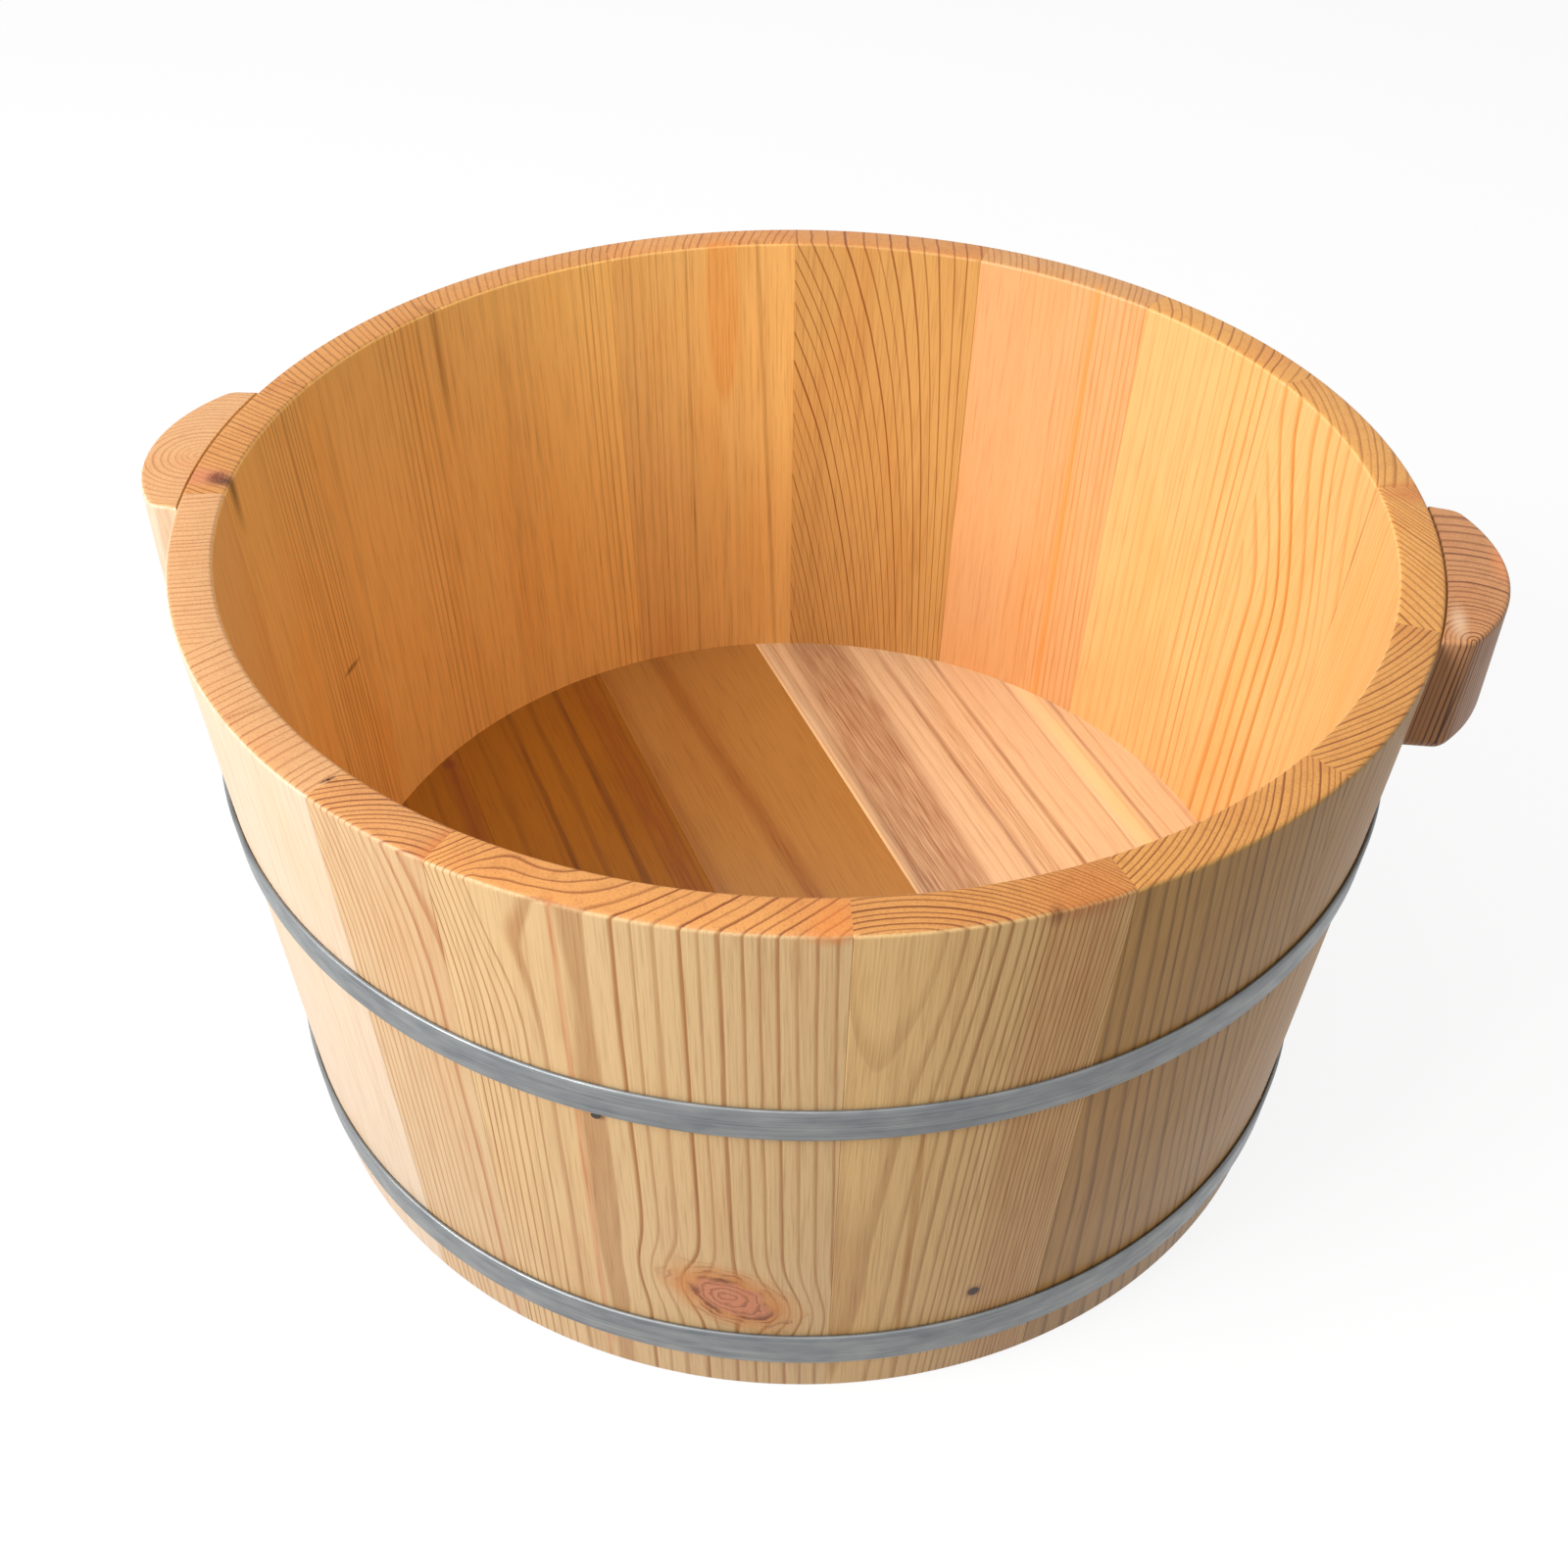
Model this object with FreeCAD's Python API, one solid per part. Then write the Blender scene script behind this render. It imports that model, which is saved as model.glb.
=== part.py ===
import FreeCAD, Part
# Coopered wooden foot bath, in millimetres: a round tub that widens upwards, made of
# sixteen bevelled staves of random width. The floor is a disc of edge-glued boards
# whose tongue sits in a groove (the croze) turned in the staves, two steel hoops bind
# the wall, and a block handle is glued on each side, level with the rim.
# +Z is up, the origin is the centre of the base, and +X runs through the middle of the
# stave that carries the right handle.

import math
import os

Vector = FreeCAD.Vector
UP = Vector(0, 0, 1)
CENTRE = Vector(0, 0, 0)

# Tub wall
RIM_RADIUS = 200.0
BASE_RADIUS = 184.5
TUB_HEIGHT = 224.0
WALL_THICKNESS = 14.0
RIM_EASE = 2.0

# Degrees of the round that each stave fills. The first is centred on +X and carries the
# right handle, the ninth is opposite and carries the left one, and a last one closes it.
STAVE_ANGLES = [23.5, 22, 22, 22, 23, 23, 23, 22, 22.5, 24.5, 23, 12, 32, 21, 22]
RIGHT_HANDLE_STAVE = 1
LEFT_HANDLE_STAVE = 9

# Floor
FLOOR_TOP = 36.0
FLOOR_THICKNESS = 15.0
TONGUE_THICKNESS = 10.0
TONGUE_LENGTH = 6.5
FLOOR_BEVEL_RUN = 12.0
CROZE_DEPTH = 5.0
CROZE_CLEARANCE = 0.3
BOARD_SHARES = [78, 73, 74, 48, 46, 37]
FLOOR_TURN = 31.8

# Hoops
HOOP_THICKNESS = 1.5
HOOP_FIT = 0.15
UPPER_HOOP_HEIGHT = 13.0
UPPER_HOOP_DROP = 28.5
LOWER_HOOP_HEIGHT = 15.5
LOWER_HOOP_LIFT = 17.5

# Brad that keeps the upper hoop from slipping down
BRAD_ANGLE = 262.6
BRAD_LENGTH = 9.0
BRAD_SHANK_RADIUS = 0.7
BRAD_POINT_LENGTH = 2.0
BRAD_HEAD_RADIUS = 1.4
BRAD_HEAD_THICKNESS = 0.8
BRAD_CLEARANCE = 0.1

# Handles
HANDLE_LENGTH = 76.0
HANDLE_HEIGHT = 42.0
HANDLE_REACH = 19.0
HANDLE_FACE_RADIUS = 58.0
HANDLE_END_LEAN = 6.0
HANDLE_CORNER_ROUND = 6.5
HANDLE_LOWER_EASE = 4.5
HANDLE_EASE = 1.2
GLUE_LINE = 0.15

# Degrees from the middle of its stave, by which each handle sits nearer the front
RIGHT_HANDLE_SHIFT = -2.1
LEFT_HANDLE_SHIFT = 2.7

FULL_TURN = 360.0


def outer_radius(height):
    """Radius of the wall's outside at a height above the base."""
    return BASE_RADIUS + (RIM_RADIUS - BASE_RADIUS) * height / TUB_HEIGHT


def inner_radius(height):
    """Radius of the wall's inside at a height above the base."""
    return outer_radius(height) - WALL_THICKNESS


def wall_lean():
    """Angle in degrees by which the wall leans outwards."""
    return math.degrees(math.atan2(RIM_RADIUS - BASE_RADIUS, TUB_HEIGHT))


def eased_wire(corners):
    """Closed wire through (point, ease) corners, each corner cut off at its ease along both sides."""
    entries = []
    exits = []
    for index, (point, ease) in enumerate(corners):
        before = corners[index - 1][0]
        after = corners[(index + 1) % len(corners)][0]
        entries.append(point + (before - point).normalize() * ease)
        exits.append(point + (after - point).normalize() * ease)
    edges = []
    for index, (point, ease) in enumerate(corners):
        if ease > 0:
            edges.append(Part.makeLine(entries[index], exits[index]))
        following = (index + 1) % len(corners)
        edges.append(Part.makeLine(exits[index], entries[following]))
    return Part.Wire(edges)


def turned(corners, start, sweep):
    """Solid of revolution of (radius, height, ease) corners, from a start angle through a sweep."""
    points = [(Vector(radius, 0, height), ease) for radius, height, ease in corners]
    face = Part.Face(eased_wire(points))
    face.rotate(CENTRE, UP, start)
    return face.revolve(CENTRE, UP, sweep)


def wall_section():
    """Section of the wall: leaning faces, an eased rim, and the croze for the floor."""
    croze_top = FLOOR_TOP
    croze_bottom = FLOOR_TOP - TONGUE_THICKNESS
    croze_radius = inner_radius(croze_top) + CROZE_DEPTH
    return [
        (outer_radius(0), 0, 0),
        (outer_radius(TUB_HEIGHT), TUB_HEIGHT, RIM_EASE),
        (inner_radius(TUB_HEIGHT), TUB_HEIGHT, RIM_EASE),
        (inner_radius(croze_top), croze_top, 0),
        (croze_radius, croze_top, 0),
        (croze_radius, croze_bottom, 0),
        (inner_radius(croze_bottom), croze_bottom, 0),
        (inner_radius(0), 0, 0),
    ]


def stave_spans():
    """Start angle and sweep of each stave, the last one closing the round."""
    arcs = STAVE_ANGLES + [FULL_TURN - sum(STAVE_ANGLES)]
    spans = []
    start = -arcs[0] / 2
    for arc in arcs:
        spans.append((start, arc))
        start += arc
    return spans


def stave_middle(number):
    """Angle of the middle of a stave, counted from one."""
    start, arc = stave_spans()[number - 1]
    return start + arc / 2


def upper_hoop_bottom():
    """Height of the upper hoop's lower edge: the hoop sits its drop below the handles."""
    return TUB_HEIGHT - HANDLE_HEIGHT - UPPER_HOOP_DROP - UPPER_HOOP_HEIGHT


def brad_frame():
    """Placement that puts the brad's own +X along the wall's outward normal, under the upper hoop."""
    height = upper_hoop_bottom() - BRAD_HEAD_RADIUS - BRAD_CLEARANCE
    lean = FreeCAD.Rotation(Vector(0, 1, 0), wall_lean())
    turn = FreeCAD.Rotation(UP, BRAD_ANGLE)
    place = turn.multVec(Vector(outer_radius(height), 0, height))
    return FreeCAD.Placement(place, turn.multiply(lean))


def hoop_brad():
    """Small round-headed brad, its head just below the upper hoop."""
    along = Vector(1, 0, 0)
    shoulder = BRAD_POINT_LENGTH - BRAD_LENGTH
    tip_radius = BRAD_SHANK_RADIUS / 4
    point = Part.makeCone(tip_radius, BRAD_SHANK_RADIUS, BRAD_POINT_LENGTH, along * -BRAD_LENGTH, along)
    shank = Part.makeCylinder(BRAD_SHANK_RADIUS, BRAD_CLEARANCE - shoulder, along * shoulder, along)
    head = Part.makeCylinder(BRAD_HEAD_RADIUS, BRAD_HEAD_THICKNESS, along * BRAD_CLEARANCE, along)
    brad = point.fuse([shank, head]).removeSplitter()
    brad.Placement = brad_frame()
    return brad


def brad_hole():
    """Hole for the brad's shank, a clearance larger than it all round."""
    along = Vector(1, 0, 0)
    depth = BRAD_LENGTH + BRAD_CLEARANCE
    mouth = WALL_THICKNESS - depth
    hole = Part.makeCylinder(BRAD_SHANK_RADIUS + BRAD_CLEARANCE, depth + mouth, along * -depth, along)
    hole.Placement = brad_frame()
    return hole


def staves():
    """The wall's staves, each with its bevelled joints on planes through the tub's axis."""
    solids = []
    for start, arc in stave_spans():
        stave = turned(wall_section(), start, arc)
        if start < BRAD_ANGLE < start + arc:
            stave = stave.cut(brad_hole())
        solids.append(stave)
    return solids


def floor_disc():
    """The whole floor: a flat-topped disc, bevelled below to a tongue that fits the croze."""
    disc_radius = inner_radius(FLOOR_TOP) + CROZE_DEPTH - CROZE_CLEARANCE
    tongue_radius = disc_radius - TONGUE_LENGTH
    flat_radius = tongue_radius - FLOOR_BEVEL_RUN
    tongue_bottom = FLOOR_TOP - TONGUE_THICKNESS
    floor_bottom = FLOOR_TOP - FLOOR_THICKNESS
    section = [
        (0, floor_bottom, 0),
        (flat_radius, floor_bottom, 0),
        (tongue_radius, tongue_bottom, 0),
        (disc_radius, tongue_bottom, 0),
        (disc_radius, FLOOR_TOP, 0),
        (0, FLOOR_TOP, 0),
    ]
    return turned(section, 0, FULL_TURN), disc_radius


def floor_boards():
    """The floor's edge-glued boards, cut from the disc along parallel joints."""
    disc, disc_radius = floor_disc()
    boards = []
    left = -disc_radius
    for share in BOARD_SHARES:
        width = 2 * disc_radius * share / sum(BOARD_SHARES)
        corner = Vector(left, -disc_radius, FLOOR_TOP - FLOOR_THICKNESS)
        slab = Part.makeBox(width, 2 * disc_radius, FLOOR_THICKNESS, corner)
        board = disc.common(slab)
        board.rotate(CENTRE, UP, FLOOR_TURN)
        boards.append(board)
        left += width
    return boards


def hoop(bottom, height):
    """A closed steel band whose inside follows the wall's lean."""
    top = bottom + height
    inside = [outer_radius(level) + HOOP_FIT for level in (bottom, top)]
    section = [
        (inside[0], bottom, 0),
        (inside[0] + HOOP_THICKNESS, bottom, 0),
        (inside[1] + HOOP_THICKNESS, top, 0),
        (inside[1], top, 0),
    ]
    return turned(section, 0, FULL_TURN)


def handle_plan(height):
    """Plan outline of the handle at a height: leaning ends and a bowed outer face."""
    half = HANDLE_LENGTH / 2
    face_centre = RIM_RADIUS + HANDLE_REACH - HANDLE_FACE_RADIUS
    lean = math.tan(math.radians(HANDLE_END_LEAN))
    root = inner_radius(height - HANDLE_HEIGHT)
    root_half = half + (math.sqrt(RIM_RADIUS ** 2 - half ** 2) - root) * lean
    # The end line y = root_half - (x - root) * lean meets the face circle.
    a = 1 + lean ** 2
    b = -2 * (face_centre + lean * (root_half + root * lean))
    c = face_centre ** 2 + (root_half + root * lean) ** 2 - HANDLE_FACE_RADIUS ** 2
    corner_x = (-b + math.sqrt(b ** 2 - 4 * a * c)) / (2 * a)
    corner_y = root_half - (corner_x - root) * lean
    nose = Vector(face_centre + HANDLE_FACE_RADIUS, 0, height)
    corners = [Vector(corner_x, side * corner_y, height) for side in (-1, 1)]
    roots = [Vector(root, side * root_half, height) for side in (-1, 1)]
    return Part.Wire([
        Part.makeLine(roots[0], corners[0]),
        Part.Arc(corners[0], nose, corners[1]).toShape(),
        Part.makeLine(corners[1], roots[1]),
        Part.makeLine(roots[1], roots[0]),
    ])


def upright(edge):
    """Whether an edge runs straight up."""
    return abs(edge.tangentAt(edge.FirstParameter).dot(UP)) > 0.999


def handle(angle):
    """A block handle, level with the rim, hollowed to fit the leaning wall."""
    block = Part.Face(handle_plan(TUB_HEIGHT)).extrude(UP * -HANDLE_HEIGHT)
    outer_corners = [
        edge for edge in block.Edges
        if upright(edge) and edge.CenterOfMass.x > RIM_RADIUS
    ]
    block = block.makeFillet(HANDLE_CORNER_ROUND, outer_corners)
    outside = [edge for edge in block.Edges if edge.BoundBox.XMax > RIM_RADIUS and not upright(edge)]
    lower = [edge for edge in outside if edge.BoundBox.ZMax < TUB_HEIGHT - HANDLE_HEIGHT / 2]
    block = block.makeChamfer(HANDLE_LOWER_EASE, lower)
    upper = [
        edge for edge in block.Edges
        if edge.BoundBox.ZMin > TUB_HEIGHT - HANDLE_EASE and edge.BoundBox.XMax > RIM_RADIUS
    ]
    block = block.makeChamfer(HANDLE_EASE, upper)
    wall = Part.makeCone(
        outer_radius(0) + GLUE_LINE,
        outer_radius(2 * TUB_HEIGHT) + GLUE_LINE,
        2 * TUB_HEIGHT,
    )
    block = block.cut(wall)
    block.rotate(CENTRE, UP, angle)
    return block


def build():
    """Every piece of the tub by its node name."""
    pieces = {}
    for number, stave in enumerate(staves(), 1):
        pieces[f"stave_{number:02d}"] = stave
    for number, board in enumerate(floor_boards(), 1):
        pieces[f"floor_board_{number}"] = board
    pieces["upper_hoop"] = hoop(upper_hoop_bottom(), UPPER_HOOP_HEIGHT)
    pieces["lower_hoop"] = hoop(LOWER_HOOP_LIFT, LOWER_HOOP_HEIGHT)
    pieces["hoop_brad"] = hoop_brad()
    pieces["right_handle"] = handle(stave_middle(RIGHT_HANDLE_STAVE) + RIGHT_HANDLE_SHIFT)
    pieces["left_handle"] = handle(stave_middle(LEFT_HANDLE_STAVE) + LEFT_HANDLE_SHIFT)
    return pieces


def export(pieces):
    """Write one STEP file for each piece and print its volume."""
    os.makedirs("parts", exist_ok=True)
    for name, shape in pieces.items():
        solid = shape.Solids[0]
        solid.exportStep(f"parts/{name}.step")
        print(f"{name}: {len(shape.Solids)} solid, {solid.Volume / 1000:.1f} cm3, valid {solid.isValid()}")


export(build())
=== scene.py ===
"""Coopered wooden foot bath: turned staves, a boarded floor, two hoops and two block handles.

Lengths in the classes are in millimetres, as a cooper would give them, and each mesh is
written in metres. Every piece stands where its CAD node stands.
"""
import logging
import math
from dataclasses import dataclass, field
from enum import Enum
from typing import Any, Optional, Sequence, Union

import bmesh
import bpy
from mathutils import Matrix, Vector


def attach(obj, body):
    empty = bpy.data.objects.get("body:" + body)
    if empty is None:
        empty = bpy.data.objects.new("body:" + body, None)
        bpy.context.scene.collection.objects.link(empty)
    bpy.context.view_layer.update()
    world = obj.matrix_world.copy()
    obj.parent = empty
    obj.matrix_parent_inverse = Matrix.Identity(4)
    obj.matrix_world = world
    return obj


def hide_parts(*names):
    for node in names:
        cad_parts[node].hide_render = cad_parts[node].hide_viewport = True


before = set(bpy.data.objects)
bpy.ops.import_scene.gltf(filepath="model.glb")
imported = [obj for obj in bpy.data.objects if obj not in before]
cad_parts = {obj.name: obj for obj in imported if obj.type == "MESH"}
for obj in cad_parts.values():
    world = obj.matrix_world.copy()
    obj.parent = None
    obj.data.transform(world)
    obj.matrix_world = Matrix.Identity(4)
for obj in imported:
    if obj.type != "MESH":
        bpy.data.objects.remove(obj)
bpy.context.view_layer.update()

MM = 0.001
MERGE_GAP = 1e-6
END_ANGLE = 1e-5
NOISE_REACH = 2.0
BODY = "root"
LOG = logging.getLogger("foot_bath")

Colour = tuple[float, float, float, float]


def rgb(red: int, green: int, blue: int) -> Colour:
    """Linear colour of an sRGB colour given from 0 to 255.

    Args:
        red: Red part.
        green: Green part.
        blue: Blue part.

    Returns:
        The colour as Blender's sockets take it.
    """
    parts = []
    for level in (red, green, blue):
        share = level / 255
        parts.append(share / 12.92 if share <= 0.04045 else ((share + 0.055) / 1.055) ** 2.4)
    return (parts[0], parts[1], parts[2], 1.0)


@dataclass(frozen=True)
class Value:
    """A socket that carries a number, with Python's operators."""

    nodes: "Nodes"
    socket: bpy.types.NodeSocket

    def __add__(self, other: "Number") -> "Value":
        """Sum with another value."""
        return self.nodes.math("ADD", self, other)

    __radd__ = __add__

    def __sub__(self, other: "Number") -> "Value":
        """This value less another."""
        return self.nodes.math("SUBTRACT", self, other)

    def __rsub__(self, other: "Number") -> "Value":
        """Another value less this one."""
        return self.nodes.math("SUBTRACT", other, self)

    def __mul__(self, other: "Number") -> "Value":
        """Product with another value."""
        return self.nodes.math("MULTIPLY", self, other)

    __rmul__ = __mul__

    def __truediv__(self, other: "Number") -> "Value":
        """This value divided by another."""
        return self.nodes.math("DIVIDE", self, other)

    def root(self) -> "Value":
        """Square root."""
        return self.nodes.math("SQRT", self)

    def exponent(self) -> "Value":
        """The natural exponential."""
        return self.nodes.math("EXPONENT", self)

    def sign(self) -> "Value":
        """Minus one, nought or one."""
        return self.nodes.math("SIGN", self)

    def size(self) -> "Value":
        """Absolute value."""
        return self.nodes.math("ABSOLUTE", self)

    def whole(self) -> "Value":
        """The whole number below."""
        return self.nodes.math("FLOOR", self)

    def rest(self) -> "Value":
        """The part after the whole number."""
        return self.nodes.math("FRACT", self)

    def at_most(self, limit: "Number") -> "Value":
        """The lower of this value and a limit."""
        return self.nodes.math("MINIMUM", self, limit)

    def at_least(self, limit: "Number") -> "Value":
        """The higher of this value and a limit."""
        return self.nodes.math("MAXIMUM", self, limit)

    def above(self, limit: "Number") -> "Value":
        """One above the limit and nought below it."""
        return self.nodes.math("GREATER_THAN", self, limit)

    def ramp(self, low: "Number", high: "Number") -> "Value":
        """Smooth step from nought at the low end to one at the high end."""
        node = self.nodes.node(
            "ShaderNodeMapRange",
            {"interpolation_type": "SMOOTHSTEP"},
            {"Value": self, "From Min": low, "From Max": high},
        )
        return Value(self.nodes, node.outputs[0])


Number = Union[Value, float, int]


class Nodes:
    """A node tree that is written as Python expressions."""

    def __init__(self, tree: bpy.types.NodeTree) -> None:
        """Start on an empty tree."""
        self.tree = tree
        self.tree.nodes.clear()

    def node(
        self,
        kind: str,
        settings: Optional[dict[str, Any]] = None,
        sockets: Optional[dict[Any, Any]] = None,
    ) -> bpy.types.Node:
        """Add one node.

        Args:
            kind: The node's type.
            settings: Properties of the node, which are set first.
            sockets: Values or links by the socket's name or place.

        Returns:
            The new node.
        """
        node = self.tree.nodes.new(kind)
        for name, value in (settings or {}).items():
            setattr(node, name, value)
        for key, value in (sockets or {}).items():
            self.plug(self.entry(node, key), value)
        return node

    def entry(self, node: bpy.types.Node, key: Any) -> bpy.types.NodeSocket:
        """The input of a node that is in use under a name, or at a place."""
        if isinstance(key, int):
            return node.inputs[key]
        return next(socket for socket in node.inputs if socket.name == key and socket.enabled)

    def plug(self, socket: bpy.types.NodeSocket, value: Any) -> None:
        """Set a socket to a value, or link it."""
        if isinstance(value, Value):
            value = value.socket
        if isinstance(value, bpy.types.NodeSocket):
            self.tree.links.new(value, socket)
        else:
            socket.default_value = value

    def math(self, operation: str, *values: Number) -> Value:
        """The result of one operation on numbers."""
        node = self.node("ShaderNodeMath", {"operation": operation}, dict(enumerate(values)))
        return Value(self, node.outputs[0])

    def vector(self, x: Number, y: Number, z: Number) -> bpy.types.NodeSocket:
        """A vector of three numbers."""
        return self.node("ShaderNodeCombineXYZ", None, {0: x, 1: y, 2: z}).outputs[0]

    def parts(self, vector: bpy.types.NodeSocket) -> tuple[Value, Value, Value]:
        """The three numbers of a vector."""
        node = self.node("ShaderNodeSeparateXYZ", None, {0: vector})
        return tuple(Value(self, socket) for socket in node.outputs)


class Shader(Nodes):
    """The node tree of one material."""

    def __init__(self, name: str) -> None:
        """Start a material of that name."""
        self.material = bpy.data.materials.new(name)
        self.material.use_nodes = True
        super().__init__(self.material.node_tree)

    def place(self, turn: float, shift: Sequence[float]) -> bpy.types.NodeSocket:
        """Place on the object in millimetres, turned about the upright axis and shifted.

        Args:
            turn: Degrees that the piece stands at.
            shift: Its own origin, in millimetres, once turned back.

        Returns:
            The vector socket.
        """
        source = self.node("ShaderNodeTexCoord").outputs["Object"]
        scale = (1 / MM, 1 / MM, 1 / MM)
        location = tuple(-part for part in shift)
        rotation = (0.0, 0.0, -math.radians(turn))
        sockets = {"Vector": source, "Location": location, "Rotation": rotation, "Scale": scale}
        return self.node("ShaderNodeMapping", {"vector_type": "POINT"}, sockets).outputs[0]

    def facing(self, turn: float) -> bpy.types.NodeSocket:
        """The surface's direction, turned back as the piece is."""
        source = self.node("ShaderNodeTexCoord").outputs["Normal"]
        rotation = (0.0, 0.0, -math.radians(turn))
        sockets = {"Vector": source, "Rotation": rotation}
        return self.node("ShaderNodeMapping", {"vector_type": "VECTOR"}, sockets).outputs[0]

    def noise(self, vector: bpy.types.NodeSocket, detail: float = 2.0) -> Value:
        """Soft noise about nought, from about minus one to one."""
        sockets = {"Vector": vector, "Scale": 1.0, "Detail": detail}
        node = self.node("ShaderNodeTexNoise", {"noise_dimensions": "3D"}, sockets)
        return Value(self, node.outputs[0]) * (2 * NOISE_REACH) - NOISE_REACH

    def chance(self, number: Value) -> Value:
        """A fixed random number from nought to one for each whole number."""
        node = self.node("ShaderNodeTexWhiteNoise", {"noise_dimensions": "1D"}, {"W": number})
        return Value(self, node.outputs["Value"])

    def mix(self, share: Number, first: Any, second: Any, blend: str = "MIX") -> bpy.types.NodeSocket:
        """A colour between two colours, or one blended on another."""
        settings = {"data_type": "RGBA", "blend_type": blend}
        node = self.node("ShaderNodeMix", settings, {"Factor": share, "A": first, "B": second})
        return next(socket for socket in node.outputs if socket.enabled)

    def bump(self, height: Value, depth: float) -> bpy.types.NodeSocket:
        """Normal of a surface with a relief of that depth in metres."""
        sockets = {"Height": height, "Distance": depth, "Strength": 1.0}
        return self.node("ShaderNodeBump", None, sockets).outputs[0]

    def surface(self, sockets: dict[str, Any]) -> bpy.types.Material:
        """Close the material with a Principled shader.

        Args:
            sockets: The shader's values and links.

        Returns:
            The material.
        """
        shader = self.node("ShaderNodeBsdfPrincipled", None, sockets)
        self.node("ShaderNodeOutputMaterial", None, {"Surface": shader.outputs[0]})
        return self.material


@dataclass(frozen=True)
class ToneColours:
    """Colours of one tone of varnished pine.

    Early wood is the pale part of a ring and late wood the dark line.
    """

    outside: Colour
    inside: Colour
    end: Colour
    late: Colour
    end_late: Colour


def plain_tone(early: Colour, late: Colour) -> ToneColours:
    """Tone of a board that shows the same two colours on every side."""
    return ToneColours(early, early, early, late, late)


class Tone(Enum):
    """Tones that the boards of the tub come in."""

    PALE = ToneColours(
        rgb(219, 197, 172), rgb(244, 192, 116), rgb(206, 156, 106), rgb(190, 138, 88), rgb(160, 96, 56),
    )
    PEACH = ToneColours(
        rgb(216, 182, 138), rgb(226, 171, 116), rgb(202, 148, 92), rgb(206, 140, 66), rgb(160, 92, 40),
    )
    ROSE = ToneColours(
        rgb(209, 178, 136), rgb(242, 190, 116), rgb(204, 144, 86), rgb(172, 112, 68), rgb(118, 58, 20),
    )
    HONEY = ToneColours(
        rgb(215, 182, 135), rgb(234, 183, 108), rgb(208, 144, 80), rgb(158, 102, 50), rgb(122, 58, 16),
    )
    YELLOW = ToneColours(
        rgb(182, 138, 84), rgb(237, 184, 119), rgb(212, 152, 80), rgb(200, 132, 52), rgb(140, 76, 26),
    )
    ORANGE = ToneColours(
        rgb(196, 154, 104), rgb(208, 158, 90), rgb(200, 136, 74), rgb(138, 72, 22), rgb(120, 58, 16),
    )
    TAN = ToneColours(
        rgb(223, 186, 130), rgb(250, 198, 114), rgb(200, 138, 74), rgb(150, 94, 46), rgb(110, 54, 16),
    )
    OLIVE = ToneColours(
        rgb(190, 146, 84), rgb(240, 188, 122), rgb(204, 144, 76), rgb(110, 70, 28), rgb(122, 62, 20),
    )
    CEDAR = ToneColours(
        rgb(184, 132, 90), rgb(184, 132, 90), rgb(192, 134, 86), rgb(68, 32, 14), rgb(98, 44, 16),
    )
    NUT = plain_tone(rgb(160, 100, 20), rgb(96, 48, 10))
    WALNUT = plain_tone(rgb(176, 124, 60), rgb(136, 82, 34))
    FAWN = plain_tone(rgb(226, 194, 154), rgb(170, 106, 54))


@dataclass(frozen=True)
class Mark:
    """A soft-edged coloured patch, such as a streak, a stain, a pin knot or a painted highlight, in
    millimetres.

    The place and the reach are given across the piece, through its depth and along its grain.
    """

    place: tuple[float, float, float]
    reach: tuple[float, float, float]
    colour: Colour
    strength: float = 0.8
    lean: float = 0.0
    hard: float = 0.3
    streaks: float = 0.5
    ragged: float = 0.06

    def laid_on(
        self,
        shader: Shader,
        colour: bpy.types.NodeSocket,
        place: tuple[Value, Value, Value],
        fibre: Value,
    ) -> bpy.types.NodeSocket:
        """Colour with this mark on it.

        Args:
            shader: The material's tree.
            colour: The colour so far.
            place: Across the board, through its depth and along its grain.
            fibre: Fibre streaks, which the mark takes more or less of.

        Returns:
            The new colour.
        """
        across, depth, along = place
        up = along - self.place[2]
        offsets = (across - self.place[0] - up * self.lean, depth - self.place[1], up)
        squares = [(offset / reach) * (offset / reach) for offset, reach in zip(offsets, self.reach)]
        distance = (squares[0] + squares[1] + squares[2]).root() + fibre * self.ragged
        share = 1 - distance.ramp(self.hard, 1.0)
        uneven = (fibre * self.streaks + 1).at_least(0.0)
        return shader.mix((share * uneven * self.strength).at_most(1.0), colour, self.colour)


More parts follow.
